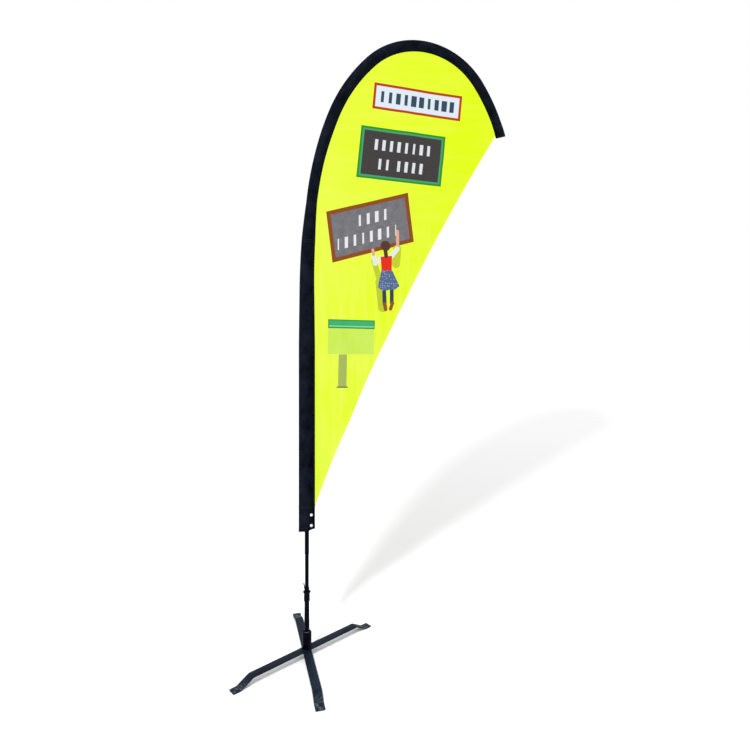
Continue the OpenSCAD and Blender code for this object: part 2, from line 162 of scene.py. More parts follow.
class Finish:
    """A node material round one Principled shader, with short calls that add its nodes."""

    def __init__(self, name, **constants):
        self.material = bpy.data.materials.new(name)
        self.material.use_nodes = True
        self.tree = self.material.node_tree
        self.shader = self.tree.nodes["Principled BSDF"]
        self.set(**constants)

    def put(self, socket, value):
        if isinstance(value, bpy.types.NodeSocket):
            self.tree.links.new(value, socket)
        elif socket.type == "RGBA":
            socket.default_value = (*value, 1.0)
        else:
            socket.default_value = value

    def set(self, **inputs):
        for key, value in inputs.items():
            self.put(self.shader.inputs[key.replace("_", " ")], value)

    def node(self, kind, inputs=(), **settings):
        node = self.tree.nodes.new("ShaderNode" + kind)
        for key, value in settings.items():
            setattr(node, key, value)
        for key, value in dict(inputs).items():
            self.put(node.inputs[key], value)
        return node

    def math(self, operation, *values, clamp=False):
        inputs = enumerate(values)
        return self.node("Math", inputs, operation=operation, use_clamp=clamp).outputs[0]

    def add(self, a, b):
        return self.math("ADD", a, b)

    def minus(self, a, b):
        return self.math("SUBTRACT", a, b)

    def times(self, a, b, clamp=False):
        return self.math("MULTIPLY", a, b, clamp=clamp)

    def times_add(self, a, b, c, clamp=False):
        return self.math("MULTIPLY_ADD", a, b, c, clamp=clamp)

    def most(self, *values):
        result = values[0]
        for value in values[1:]:
            result = self.math("MAXIMUM", result, value)
        return result

    def past(self, value, centre, half):
        """How far value is past a band round centre. It is below 0 inside the band."""
        return self.minus(self.math("ABSOLUTE", self.minus(value, centre)), half)

    def vector(self, operation, *values):
        node = self.node("VectorMath", enumerate(values), operation=operation)
        return node.outputs["Value" if operation in ("DOT_PRODUCT", "LENGTH") else "Vector"]

    def scaled(self, vector, factor):
        node = self.node("VectorMath", {"Vector": vector, "Scale": factor}, operation="SCALE")
        return node.outputs["Vector"]

    def mix(self, factor, first, second):
        return self.node("Mix", {0: factor, 6: first, 7: second}, data_type="RGBA").outputs[2]

    def blend(self, factor, first, second):
        return self.node("Mix", {0: factor, 2: first, 3: second}, data_type="FLOAT").outputs[0]

    def remap(self, value, low, high, to_low=0.0, to_high=1.0):
        inputs = {"Value": value, "From Min": low, "From Max": high,
                  "To Min": to_low, "To Max": to_high}
        return self.node("MapRange", inputs).outputs[0]

    def noise(self, vector, scale, detail=2.0, roughness=0.5):
        inputs = {"Vector": vector, "Scale": scale, "Detail": detail, "Roughness": roughness}
        return self.node("TexNoise", inputs).outputs["Fac"]

    def coords(self):
        return self.node("TexCoord").outputs["Object"]

    def attribute(self, name, output="Vector"):
        return self.node("Attribute", attribute_name=name).outputs[output]

    def split(self, vector):
        return self.node("SeparateXYZ", {"Vector": vector}).outputs

    def bump(self, height, distance, strength=1.0, under=None):
        node = self.node("Bump", {"Height": height, "Distance": distance, "Strength": strength})
        if under is not None:
            self.put(node.inputs["Normal"], under)
        return node.outputs["Normal"]

    def paint(self, distance, under, colour, soft=0.9 * MM):
        """Lays colour over under, inside the shape with this signed distance to its edge."""
        return self.mix(self.times_add(distance, -1 / soft, 0.5, clamp=True), under, colour)


def grained(name, dark, light, rough, metal=0.0, grain=400.0, stretch=(1, 1, 1), depth=0.05 * MM,
            patch=18.0, **constants):
    """A finish with large soft patches between two colours, and a fine grain in its bump."""
    f = Finish(name, Metallic=metal, **constants)
    where = f.coords()
    patches = f.noise(where, patch, 3.0, 0.6)
    fine = f.noise(f.vector("MULTIPLY", where, stretch), grain, 2.0, 0.6)
    share = f.remap(f.times_add(fine, 0.35, patches), 0.45, 0.9)
    f.set(Base_Color=f.mix(share, dark, light), Normal=f.bump(fine, depth),
          Roughness=f.remap(patches, 0.3, 0.7, rough - 0.06, rough + 0.08))
    return f.material


def powder_coat(name, dark, light, rough, shine):
    """Powder-coated steel: orange peel, worn edges where the mesh says wear, dust near the ground."""
    f = Finish(name, Specular_IOR_Level=shine)
    where = f.coords()
    patches = f.noise(where, 14.0, 4.0, 0.65)
    peel = f.noise(where, 520.0, 1.0, 0.4)
    low = f.remap(f.split(where)[2], 0.004, 0.026, 1.0, 0.0)
    streaks = f.noise(f.vector("MULTIPLY", where, (1, 1, 6)), 60.0, 5.0, 0.7)
    dust = f.times(low, f.remap(streaks, 0.46, 0.70), clamp=True)
    chips = f.remap(f.noise(where, 46.0, 5.0, 0.7), 0.50, 0.66, 0.04, 0.30)
    worn = f.times(f.attribute("wear", "Fac"), chips, clamp=True)
    colour = f.mix(f.remap(patches, 0.35, 0.7), dark, light)
    colour = f.mix(f.times(dust, 0.55), colour, srgb(120, 130, 142))
    colour = f.mix(worn, colour, srgb(112, 118, 128))
    rough = f.remap(patches, 0.3, 0.7, rough, rough + 0.1)
    f.set(Base_Color=colour, Roughness=f.times_add(dust, 0.25, rough),
          Normal=f.bump(peel, 0.06 * MM, 0.6))
    return f.material


def woven(name, dark, light, seam_dark):
    """Black polyester: a plain weave in the cloth's own directions, with a dark seam allowance, and
    painted shade that darkens it across towards the flag's side.
    """
    thread, seam_w = 0.55 * MM, 9.5 * MM
    f = Finish(name, Roughness=0.85, Specular_IOR_Level=0.02)
    flat = f.attribute("flat")
    across, along, from_seam = f.split(flat)
    warp, weft = (f.math("SINE", f.times(way, TAU / thread)) for way in (across, along))
    slubs = f.noise(f.vector("MULTIPLY", flat, (9.0, 1.0, 1.0)), 240.0, 3.0, 0.6)
    patches = f.noise(flat, 16.0, 3.0, 0.6)
    # Random patches plus painted shade across the sleeve: lighter on its outer edge and darker towards
    # the flag's side, standing in for light on its rounded face
    mottle_and_painted_shade = f.add(f.remap(patches, 0.3, 0.75, -0.15, 0.6),
                  f.remap(across, -0.034, 0.034, 0.28, -0.30))
    colour = f.mix(f.times_add(slubs, 0.5, mottle_and_painted_shade, clamp=True), dark, light)
    colour = f.mix(f.math("LESS_THAN", from_seam, seam_w), colour, seam_dark)
    height = f.times_add(f.times(warp, weft), 0.5, slubs)
    f.set(Base_Color=colour, Normal=f.bump(height, 0.12 * MM, 0.7))
    return f.material


def twisted(name, dark, light):
    """Sewing thread: two plies twisted together."""
    f = Finish(name, Roughness=0.6, Sheen_Weight=0.2)
    twist = f.noise(f.coords(), 2600.0, 1.0)
    f.set(Base_Color=f.mix(twist, dark, light), Normal=f.bump(twist, 0.08 * MM))
    return f.material


# -------- the flag's print: plain signs and a plain figure, in shapes that stand for no letter


def shape_distance(f, flat, points, radius):
    """Signed distance to a convex shape whose (x, z) corners go clockwise as seen, or, where a
    radius is given, to a round-ended limb between two points."""
    if radius:
        a = Vector((points[0][0], 0, points[0][1]))
        run = Vector((points[1][0], 0, points[1][1])) - a
        offset = f.vector("SUBTRACT", flat, a)
        share = f.math("DIVIDE", f.vector("DOT_PRODUCT", offset, run), run.length_squared, clamp=True)
        away = f.vector("SUBTRACT", offset, f.scaled(run, share))
        return f.minus(f.vector("LENGTH", away), radius)
    sides = []
    for (x0, z0), (x1, z1) in zip(points, points[1:] + points[:1]):
        out = Vector((z0 - z1, 0, x1 - x0)).normalized()
        sides.append(f.minus(f.vector("DOT_PRODUCT", flat, out), out.x * x0 + out.z * z0))
    return f.most(*sides)


class Sign:
    """A flat sign on the panel, with its own two directions, which needn't be square."""

    def __init__(self, f, flat, under, centre, right, up):
        self.finish, self.colour = f, under
        self.half_w, self.half_h = math.hypot(*right), math.hypot(*up)
        det = right[0] * up[1] - right[1] * up[0]
        along = Vector((up[1], 0, -up[0])) * (self.half_w / det)
        upward = Vector((-right[1], 0, right[0])) * (self.half_h / det)
        offset = f.vector("SUBTRACT", flat, (centre[0], 0, centre[1]))
        self.x, self.z = (f.vector("DOT_PRODUCT", offset, way) for way in (along, upward))

    def box(self, inset, colour, x=0.0, z=0.0, half_w=None, half_h=None):
        """Paints a box over what is there: the whole sign less an inset, or a part of it."""
        f = self.finish
        dx = f.past(self.x, x, half_w or self.half_w - inset)
        dz = f.past(self.z, z, half_h or self.half_h - inset)
        self.colour = f.paint(f.most(dx, dz), self.colour, colour)

    def blocks(self, colour, x, z, length, height, pitch, seed, lean=0.0, thin=1.0):
        """Paints a row of plain upright blocks of uneven width, where the sign had its words."""
        f = self.finish
        along = f.times_add(self.z, -lean, f.minus(self.x, x))
        place = f.math("DIVIDE", along, pitch)
        cell = f.math("FLOOR", place)
        inner = f.times(f.minus(place, f.add(cell, 0.5)), pitch)
        chance = f.node("TexWhiteNoise", {"W": f.add(cell, seed)}, noise_dimensions="1D")
        half = f.times_add(chance.outputs["Value"], 0.20 * pitch * thin, 0.17 * pitch * thin)
        distance = f.most(f.past(inner, 0, half), f.past(self.z, z, height / 2),
                          f.past(along, 0, length / 2))
        self.colour = f.paint(distance, self.colour, colour)


def paint_place_sign(f, flat, under):
    sign = Sign(f, flat, under, (0.535, 2.5668), (0.222, -0.0095), (0.0055, 0.0612))
    sign.box(0, ink(176, 58, 26))
    sign.box(11.5 * MM, ink(236, 206, 214))
    sign.box(14.5 * MM, ink(219, 229, 238))
    sign.blocks(ink(52, 72, 92), -0.002, 0, 0.390, 0.052, 0.039, 3.0)
    return sign.colour


def paint_day_sign(f, flat, under):
    sign = Sign(f, flat, under, (0.4532, 2.301), (0.2100, -0.0095), (0.01225, 0.1215))
    mottle = f.remap(f.noise(flat, 160.0, 3.0, 0.6), 0.35, 0.65)
    sign.box(0, ink(32, 142, 44))
    sign.box(9 * MM, ink(72, 158, 104))
    sign.box(18 * MM, f.mix(mottle, ink(54, 56, 54), ink(72, 66, 66)))
    for x, z, length, seed in ((0.0, 0.041, 0.296, 11.0), (-0.085, -0.049, 0.074, 23.0),
                               (0.045, -0.049, 0.148, 31.0)):
        sign.blocks(ink(216, 222, 228), x, z, length, 0.050, 0.037, seed, thin=0.72)
    return sign.colour


def paint_chalkboard(f, flat, under):
    sign = Sign(f, flat, under, (0.30175, 1.959), (0.19775, 0.056), (-0.01525, 0.1165))
    grain = f.noise(f.vector("MULTIPLY", flat, (1, 1, 6)), 70.0, 4.0, 0.6)
    chalk_dust = f.remap(f.noise(flat, 34.0, 4.0, 0.7), 0.3, 0.7)
    slate = f.mix(chalk_dust, ink(104, 104, 108), ink(126, 124, 130))
    sign.box(0, f.mix(grain, ink(104, 48, 18), ink(164, 92, 40)))
    sign.box(19 * MM, slate)
    sign.blocks(ink(226, 228, 230), 0.010, 0.042, 0.172, 0.050, 0.043, 43.0, 0.12, 0.6)
    sign.blocks(ink(226, 228, 230), -0.018, -0.042, 0.294, 0.050, 0.042, 57.0, 0.12, 0.6)
    return sign.colour


def paint_poster(f, flat, under):
    """A pale board with a green head, on a short post."""
    sign = Sign(f, flat, under, (0.21, 1.504), (0.111, -0.0025), (0.0005, 0.0202))
    pale = f.mix(f.noise(flat, 12.0, 2.0), ink(196, 232, 70), ink(206, 236, 104))
    sign.box(0, pale, 0, -0.078, 0.1105, 0.062)
    sign.box(0, ink(164, 182, 96), -0.038, -0.217, 0.020, 0.076)
    sign.box(0, ink(98, 108, 60), -0.038, -0.292, 0.026, 0.003)
    sign.box(0, ink(38, 128, 48))
    sign.box(4 * MM, ink(58, 176, 112))
    sign.box(0, ink(150, 222, 160), 0, -0.0105, 0.107, 0.0022)
    return sign.colour


def paint_figure(f, flat, under):
    """A plain figure with raised arms, seen from behind."""
    skin, white, hair = ink(226, 168, 140), ink(226, 230, 218), ink(84, 54, 44)
    shade, red, leg, shoe = ink(188, 204, 44), ink(226, 44, 22), ink(52, 66, 74), ink(150, 78, 34)
    dots = f.node("TexVoronoi", {"Vector": flat, "Scale": 95.0, "Randomness": 0.4})
    spotted = f.math("LESS_THAN", dots.outputs["Distance"], 0.30)
    skirt = f.mix(spotted, ink(84, 104, 142), ink(142, 160, 188))
    # A colour, the radius of a limb or 0 for a convex shape, and the x and z of each corner, in mm
    for colour, radius, *corners in (
            (shade, 24, 347, 1700, 360, 1585), (shade, 14, 318, 1800, 347, 1700),
            (shade, 20, 425, 1790, 432, 1860), (leg, 9.5, 366, 1680, 368, 1600),
            (leg, 9.5, 404, 1680, 404, 1605), (shoe, 8.5, 368, 1600, 374, 1574),
            (shoe, 8.5, 408, 1605, 398, 1577),
            (skirt, 0, 354, 1762, 405, 1762, 443, 1686, 420, 1668, 360, 1662, 334, 1676),
            (white, 12, 356, 1816, 322, 1790), (white, 10, 322, 1790, 315, 1826),
            (skin, 7.5, 315, 1832, 312, 1852), (white, 11.5, 398, 1820, 432, 1862),
            (skin, 7.5, 434, 1880, 433, 1945),
            (red, 0, 350, 1822, 406, 1828, 404, 1758, 354, 1758),
            (hair, 23, 374, 1875, 375, 1872), (hair, 9.5, 372, 1862, 377, 1826)):
        points = [(x * MM, z * MM) for x, z in zip(corners[::2], corners[1::2])]
        under = f.paint(shape_distance(f, flat, points, radius * MM), under, colour)
    return under


def printed_cloth(deep, pale):
    """Printed neon-yellow warp knit, with painted light and shade along its creases. The print lies in
    the cloth's own flat coordinates.
    """
    stitch = 0.9 * MM
    f = Finish("flag_fabric", Roughness=0.7, Specular_IOR_Level=0.10)
    mapped = f.attribute("flat")
    flat = f.vector("MULTIPLY", mapped, (1, 0, 1))
    x, _, z = f.split(flat)
    low_streaks = f.noise(f.vector("MULTIPLY", flat, (34.0, 1.0, 4.0)), 1.0, 4.0, 0.6)
    high_pulls = f.noise(f.vector("MULTIPLY", flat, (3.5, 1.0, 24.0)), 1.0, 4.0, 0.6)
    rising = f.remap(z, 1.5, 2.1)
    # Paler near the pole and low down, with streaks along the pull of the cloth: the streaks are
    # painted light and shade of its creases, added to a random tone
    share = f.times(f.remap(x, 0.10, 0.80, 0.90, 0.14), f.remap(z, 1.9, 2.3, 1.0, 0.62))
    for crease_shade_and_tone in (f.blend(rising, f.remap(low_streaks, 0.41, 0.61, -0.52, 0.16),
                         f.remap(high_pulls, 0.40, 0.62, -0.16, 0.12)),
                 f.remap(f.noise(flat, 2.2, 2.0), 0.3, 0.7, -0.08, 0.08)):
        share = f.add(share, crease_shade_and_tone)
    colour = f.mix(f.remap(share, 0.0, 1.0), deep, pale)
    in_hem = f.math("LESS_THAN", f.split(mapped)[1], HEM_W)
    colour = f.mix(in_hem, colour, f.vector("MULTIPLY", colour, (1.05, 0.93, 1.25)))
    for paint in (paint_poster, paint_chalkboard, paint_figure, paint_day_sign, paint_place_sign):
        colour = paint(f, flat, colour)
    wales, courses = (f.math("SINE", f.times(way, TAU / stitch)) for way in (x, f.times_add(x, 0.5, z)))
    knit = f.times(wales, courses)
    colour = f.scaled(colour, f.remap(knit, 0.3, 1.0, 1.0, 0.90))
    creases = f.bump(f.blend(rising, low_streaks, high_pulls), 4.0 * MM, 0.5)
    f.set(Base_Color=colour, Normal=f.bump(knit, 0.08 * MM, 0.5, creases))
    return f.material


COAT = powder_coat("painted_steel", (0.0030, 0.0070, 0.0150), (0.0100, 0.0185, 0.0330), 0.40, 0.05)
HUB = powder_coat("hub_paint", (0.0002, 0.0004, 0.0030), (0.0016, 0.0024, 0.0080), 0.36, 0.03)
WELD = powder_coat("weld_paint", (0.0018, 0.0034, 0.0080), (0.0055, 0.0090, 0.0170), 0.38, 0.05)
TUBE = grained("black_tube", (0.0002, 0.0004, 0.0025), (0.0014, 0.0020, 0.0060), 0.30, 0.0, 900.0,
               (1, 1, 0.04), Specular_IOR_Level=0.025)
PLASTIC = grained("black_plastic", (0.0004, 0.0007, 0.0032), (0.0018, 0.0025, 0.0066), 0.46, 0.0,
                  1500.0, Specular_IOR_Level=0.035)
RUBBER = grained("rubber", (0.0030, 0.0030, 0.0042), (0.0075, 0.0075, 0.0095), 0.78, 0.0, 1100.0,
                 Specular_IOR_Level=0.08)
NYLON = grained("nylon", (0.66, 0.64, 0.57), (0.74, 0.72, 0.66), 0.5, 0.0, 800.0)
ZINC = grained("zinc_steel", (0.42, 0.43, 0.45), (0.60, 0.61, 0.63), 0.36, 0.9, 700.0, patch=60.0)
BEARING = grained("bearing_steel", (0.58, 0.59, 0.61), (0.70, 0.71, 0.73), 0.16, 1.0, 1800.0,
                  (1, 1, 12), 0.01 * MM)
SPRING = grained("spring_steel", (0.11, 0.11, 0.12), (0.19, 0.19, 0.20), 0.42, 0.8, 900.0)
BRASS = grained("cage_brass", (0.56, 0.41, 0.17), (0.70, 0.54, 0.27), 0.34, 1.0, 900.0)
BARE = grained("bare_tube", (0.55, 0.56, 0.58), (0.68, 0.69, 0.71), 0.34, 1.0, 1200.0, (1, 1, 0.05))
FIBREGLASS = grained("fibreglass", (0.020, 0.020, 0.023), (0.045, 0.045, 0.050), 0.46, 0.0, 1400.0,
                     (1, 1, 0.06))
NICKEL = grained("nickel", (0.56, 0.57, 0.58), (0.74, 0.75, 0.77), 0.20, 1.0, 900.0,
                 depth=0.01 * MM, patch=220.0)
SLEEVE = woven("sleeve_fabric", (0.0007, 0.0011, 0.0028), (0.0080, 0.0108, 0.0190),
               (0.0010, 0.0013, 0.0022))
THREAD = twisted("black_thread", (0.003, 0.004, 0.007), (0.012, 0.014, 0.020))
YELLOW_THREAD = twisted("yellow_thread", (0.42, 0.60, 0.03), (0.62, 0.80, 0.08))
PRINT = printed_cloth((0.535, 0.722, 0.005), (0.590, 0.735, 0.064))

# -------- mesh helpers


def new_mesh(name, points, faces):
    mesh = bpy.data.meshes.new(name)
    mesh.from_pydata([tuple(p) for p in points], [], faces)
    return mesh


def outward(mesh):
    """Turns every face's outside out."""
    shape = bmesh.new()
    shape.from_mesh(mesh)
    bmesh.ops.recalc_face_normals(shape, faces=shape.faces)
    shape.to_mesh(mesh)
    shape.free()


def smooth(mesh, degrees):
    """Smooth shading, with an edge kept sharp where its faces meet at more than this angle."""
    outward(mesh)
    mesh.shade_smooth()
    mesh.set_sharp_from_angle(angle=math.radians(degrees))


def make_piece(name, points, faces, material, body, stands_for=(), sharp=35, wear=None):
    """Makes a mesh piece that rides on a body, and stands for CAD nodes."""
    mesh = new_mesh(name, points, faces)
    if wear is not None:
        mesh.attributes.new("wear", "FLOAT", "POINT").data.foreach_set("value", wear)
    smooth(mesh, sharp)
    mesh.materials.append(material)
    obj = new_object(name, mesh)
    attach(obj, body)
    if stands_for:
        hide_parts(*stands_for)
    return obj


def rounded(corners, steps=4):
    """A closed outline in which each (x, y, radius in millimetres) corner is a curve."""
    points = []
    for k, (x, y, millimetres) in enumerate(corners):
        radius = millimetres * MM
        here = Vector((x, y))
        back = Vector(corners[k - 1][:2]) - here
        ahead = Vector(corners[(k + 1) % len(corners)][:2]) - here
        cut = min(radius / math.tan(back.angle(ahead) / 2), 0.48 * back.length, 0.48 * ahead.length)
        if radius <= 0:
            points.append(here)
            continue
        first = here + back.normalized() * cut
        last = here + ahead.normalized() * cut
        for i in range(steps + 1):
            t = i / steps
            points.append(first * (1 - t) ** 2 + here * 2 * t * (1 - t) + last * t * t)
    return points


def joined(rings):
    return [p for ring in rings for p in ring]


def shifted(faces, by):
    return [tuple(by + i for i in face) for face in faces]


def strip(a, b):
    """Quads between two rings of point numbers, each closed on itself."""
    m = len(a)
    return [(a[j], a[(j + 1) % m], b[(j + 1) % m], b[j]) for j in range(m)]


def bridged(rings, capped=False):
    """Quads between neighbouring rings of points. The last joins the first, or has an end face."""
    m = len(rings[0])
    spans = [range(i * m, i * m + m) for i in range(len(rings))]
    following = spans[1:] if capped else spans[1:] + spans[:1]
    faces = joined(strip(a, b) for a, b in zip(spans, following))
    return faces + [tuple(spans[0]), tuple(reversed(spans[-1]))] if capped else faces


def turned(outline, segments=96, centre=(0, 0, 0), along_y=False):
    """Rings of a closed (radius, height) outline turned about Z, or about Y."""
    rings = []
    for k in range(segments):
        c, s = math.cos(TAU * k / segments), math.sin(TAU * k / segments)
        ring = [(r * c, h, r * s) if along_y else (r * c, r * s, h) for r, h in outline]
        rings.append([Vector(p) + Vector(centre) for p in ring])
    return rings


def lathe(name, corners, material, body, stands_for, segments=96):
    rings = turned(rounded(corners), segments)
    return make_piece(name, joined(rings), bridged(rings), material, body, [stands_for])


def settle(obj):
    """Puts the result of obj's modifiers into its mesh, and takes the modifiers off."""
    depsgraph = bpy.context.evaluated_depsgraph_get()
    done = bpy.data.meshes.new_from_object(obj.evaluated_get(depsgraph), preserve_all_data_layers=True,
                                           depsgraph=depsgraph)
    obj.modifiers.clear()
    old, obj.data = obj.data, done
    done.name = obj.name
    bpy.data.meshes.remove(old)


def drill(obj, centres, radius, length, along_y=False):
    """Cuts a round hole through obj at each centre, along Z or along Y."""
    tools = []
    for centre in centres:
        wall = turned([(radius, -length / 2), (radius, length / 2)], 48, centre, along_y)
        ends = list(zip(*wall))
        mesh = new_mesh("drill", joined(ends), bridged(ends, capped=True))
        outward(mesh)
        tools.append(new_object("drill", mesh))
        cut = obj.modifiers.new("cut", "BOOLEAN")
        cut.object = tools[-1]
        cut.operation = "DIFFERENCE"
        cut.solver = "EXACT"
    settle(obj)
    for tool in tools:
        bpy.data.objects.remove(tool)


# -------- base

END_ROUND = 3 * MM
END_ANGLES = (0, 30, 60, 90)
EDGE_ROUND = 0.9


def bend_arc(r, z, radius, start, end, steps=10):
    """Points round one bend about the centre (r, z), between two angles in degrees."""
    angles = np.radians(np.linspace(start, end, steps + 1))
    return [(r + radius * math.cos(a), z + radius * math.sin(a)) for a in angles]


def arm_line(rise, lift):
    """Side view of one arm as (r, z): its underside at a lift of 0, its top at a lift of BAR_T."""
    slope = math.atan2(rise, SLOPE_LEN)
    lean = math.degrees(slope)
    foot_r = BAR_REACH - FOOT_LEN
    top_r = foot_r - SLOPE_LEN
    setback = (BEND_R + BAR_T) * math.tan(slope / 2)
    return (bend_arc(top_r - setback, rise - BEND_R, BEND_R + lift, 90, 90 - lean)
            + bend_arc(foot_r + setback, BAR_T + BEND_R, BEND_R + BAR_T - lift, 270 - lean, 270)
            + [(BAR_REACH - END_ROUND * (1 - math.sin(math.radians(a))), lift) for a in END_ANGLES])


def flat_bar(name, node, azimuth, body):
    """A flat bar with two bent feet, its edges and corners rounded, drilled for the pivot bolt."""
    bolt_hole_r = 5.1 * MM
    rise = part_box(node)[1][2] - BAR_T
    under, over = arm_line(rise, 0), arm_line(rise, BAR_T)
    insets = [0.0] * (len(under) - len(END_ANGLES))
    insets += [END_ROUND * (1 - math.cos(math.radians(a))) for a in END_ANGLES]
    arm = list(zip(under, over, insets))
    stations = [(-1, *row) for row in reversed(arm)] + [(1, *row) for row in arm]
    along = Vector((math.cos(azimuth), math.sin(azimuth), 0))
    across = Vector((-math.sin(azimuth), math.cos(azimuth), 0))
    rings, wear = [], []
    for sign, low_edge, high_edge, inset in stations:
        foot, head = (along * sign * r + Vector((0, 0, z)) for r, z in (low_edge, high_edge))
        w, t, e = BAR_W / 2 - inset, (head - foot).length, EDGE_ROUND
        upward = (head - foot).normalized()
        corners = rounded([(-w, 0, e), (w, 0, e), (w, t, e), (-w, t, e)], 2)
        rings.append([foot + across * u + upward * v for u, v in corners])
        wear += [1.0 if k % 3 == 1 else 0.0 for k in range(len(corners))]
    bar = make_piece(name, joined(rings), bridged(rings, capped=True), COAT, body,
                     [node], wear=wear)
    drill(bar, [(0, 0, rise + BAR_T / 2)], bolt_hole_r, 4 * BAR_T)


def weld_beads():
    """Two beads of overlapping ripples between the hub and its bar."""
    hub_r, hub_z, _ = round_span("hub_housing")
    ripple_len, steps, sides, half_turn = 2.3 * MM, 110, 12, math.radians(52)
    reach, thick, swell = hub_r + 1.2 * MM, 2.2, 0.45
    points, faces = [], []
    for start in (0, math.pi):
        rings = []
        for k in range(steps + 1):
            t = k / steps
            angle = UPPER_BAR_AZ + start + (2 * t - 1) * half_turn
            phase = (t * 2 * half_turn * reach / ripple_len) % 1.0
            taper = max(min(1.0, 12 * t, 12 * (1 - t)), 0.04)
            radius = (thick + swell * math.sqrt(1 - phase)) * MM * math.sqrt(taper)
            out = Vector((math.cos(angle), math.sin(angle), 0))
            centre = out * reach + Vector((0, 0, hub_z + 1.0 * MM))
            ring = [centre + out * radius * math.cos(TAU * j / sides)
                    + Vector((0, 0, radius * math.sin(TAU * j / sides))) for j in range(sides)]
            rings.append([(p.x, p.y, max(p.z, hub_z - 0.4 * MM)) for p in ring])
        faces += shifted(bridged(rings, capped=True), len(points))
        points += joined(rings)
    make_piece("weld_beads", points, faces, WELD, "base", ["hub_weld"], 60)


def hub():
    r, low, high = round_span("hub_housing")
    ring_r, floor, _ = round_span("bearing_outer_rings")
    bore, bolt_r, ledge = ring_r + 0.02 * MM, 5.02 * MM, 2.5 * MM
    lathe("hub_shell", [
        (bolt_r, low, 0), (r, low, 0.6), (r, high, 3.2), (bore, high, 0.6),
        (bore, floor, 0), (bore - ledge, floor, 0), (bore - ledge, floor - 4 * MM, 0),
        (bolt_r, floor - 4 * MM, 0)], HUB, "base", "hub_housing")


# -------- spindle and pole


def tube_outline(bore, r, low, high, edge):
    """A tube's corners, its outer edges eased by so many millimetres."""
    return [(bore, low, 0.3), (r, low, edge), (r, high, edge), (bore, high, 0.3)]


def bottom_tube():
    r, low, high = round_span("bottom_section")
    lathe("bottom_tube", tube_outline(r - 2 * MM, r, low, high, 0.5), TUBE, "pole_foot",
          "bottom_section", 64)


def ferrule():
    lathe("ferrule_tube", tube_outline(8.58 * MM, *round_span("lower_ferrule"), 0.6), TUBE, "flag",
          "lower_ferrule", 64)


def spindle_parts():
    bore, top_r, barrel = 8.58 * MM, 10.7 * MM, 13.4 * MM
    r, low, high = round_span("spindle_tube")
    collar_r, foot, top = round_span("socket_collar")
    flange = top - 8 * MM
    inside = top_r + 0.02 * MM
    lathe("spindle_socket", [
        (bore, low, 0.3), (r, low, 0.8), (top_r, foot - 2 * MM, 8),
        (top_r, high, 0.4), (bore, high, 0.4)], HUB, "spindle", "spindle_tube")
    lathe("collar", [
        (inside, foot, 0.2), (barrel - 0.8 * MM, foot, 0.8),
        (barrel, foot + 4 * MM, 3), (barrel, foot + 19 * MM, 6),
        (barrel - 0.6 * MM, flange - 6 * MM, 4), (barrel, flange, 1.0),
        (collar_r - 1.5 * MM, flange + 1.5 * MM, 1.2), (collar_r, flange + 4 * MM, 1.5),
        (collar_r - 1 * MM, top - 1.5 * MM, 1.0), (collar_r - 5 * MM, top - 2.5 * MM, 1.5),
        (11.5 * MM, top, 1.0), (bore, top, 0.5), (bore, high, 0), (inside, high, 0)],
        PLASTIC, "spindle", "socket_collar")


def hook_clip():
    """A band round the pole, with a rounded upright prong on the -X side that leans away from it."""
    r, low, _ = round_span("hook_collar")
    bore, half_w, corner = 8.52 * MM, 4 * MM, 0.8
    root, z = -bore - 0.6 * MM, low + 4 * MM
    band = turned(rounded(tube_outline(bore, r, low, low + 12 * MM, 0.9)), 72)
    prong = []
    # The prong's distance out, height and half thickness, in millimetres
    for out, up, half_t in ((0.9, -3, 1.0), (1.4, 2, 1.7), (1.8, 9, 2.1), (2.4, 15, 2.2),
                            (3.4, 20, 2.1), (4.6, 25.0, 1.9), (5.0, 27.0, 1.4)):
        t = half_t * MM
        section = rounded([(-t, -half_w, corner), (t, -half_w, corner), (t, half_w, corner),
                           (-t, half_w, corner)], 3)
        prong.append([(root - out * MM + u, v, z + up * MM) for u, v in section])
    points = joined(band)
    faces = bridged(band) + shifted(bridged(prong, capped=True), len(points))
    make_piece("hook_clip", points + joined(prong), faces, PLASTIC, "pole_foot",
               ["hook_collar"])


# -------- sleeve

CLOTH_T = 0.5 * MM
HEM_OVER = 5 * MM
SEAM_HALF_T = 0.75 * MM
# How far the two rows of stitches along an edge are in from it
SEAM_ROWS = (2.6 * MM, 8.2 * MM)
ACROSS = 30


def lens_height(n, half, ridge, edge):
    """Half the thickness of the sleeve at n: round over the pole, straight down to the edges."""
    n = abs(n)
    meet = math.acos(ridge / math.hypot(half, edge)) + math.atan2(edge, half)
    touch_n, touch_y = ridge * math.cos(meet), ridge * math.sin(meet)
    if n <= touch_n:
        return math.sqrt(ridge * ridge - n * n)
    return touch_y + (edge - touch_y) * (n - touch_n) / (half - touch_n)


def ripple(s, n, side, half):
    """How far the loose cloth stands off its lens: long soft pulls, and gathers where it bends."""
    share = abs(n) / half
    loose = math.sin(math.pi * min(max((share - 0.2) / 0.75, 0), 1))
    pulls = noise.noise((s * 7.0 + n * 30, side * 5.0, 1.7)) * 0.9 * MM
    bend = smooth_step(s, 0.15, 0.45) * (1 - smooth_step(s, 1.7, 1.95))
    gathers = noise.noise((s * 62.0, side * 3.0, n * 40)) * 1.1 * MM * bend * (1.0 if n > 0 else 0.45)
    return loose * (pulls + gathers)


def sleeve_section(s, half, ridge, edge, grow=0.0, wrinkled=False):
    """The outer and inner loops of the sleeve at s, as (n, y) points."""
    steps = [math.sin(math.pi / 2 * (2 * k / ACROSS - 1)) for k in range(ACROSS + 1)]
    outer, inner = [], []
    for side in (-1, 1):
        for f in steps if side < 0 else reversed(steps):
            n = f * (half - 0.3 * MM)
            h = lens_height(n, half, ridge, edge) + grow
            if wrinkled:
                h += ripple(s, n, side, half)
            outer.append((n + math.copysign(grow, n) * abs(f), side * max(h, 0.5 * MM)))
            inner.append((n * (1 - 1.2 * MM / half), side * max(h - CLOTH_T, 0.2 * MM)))
    return outer, inner, half


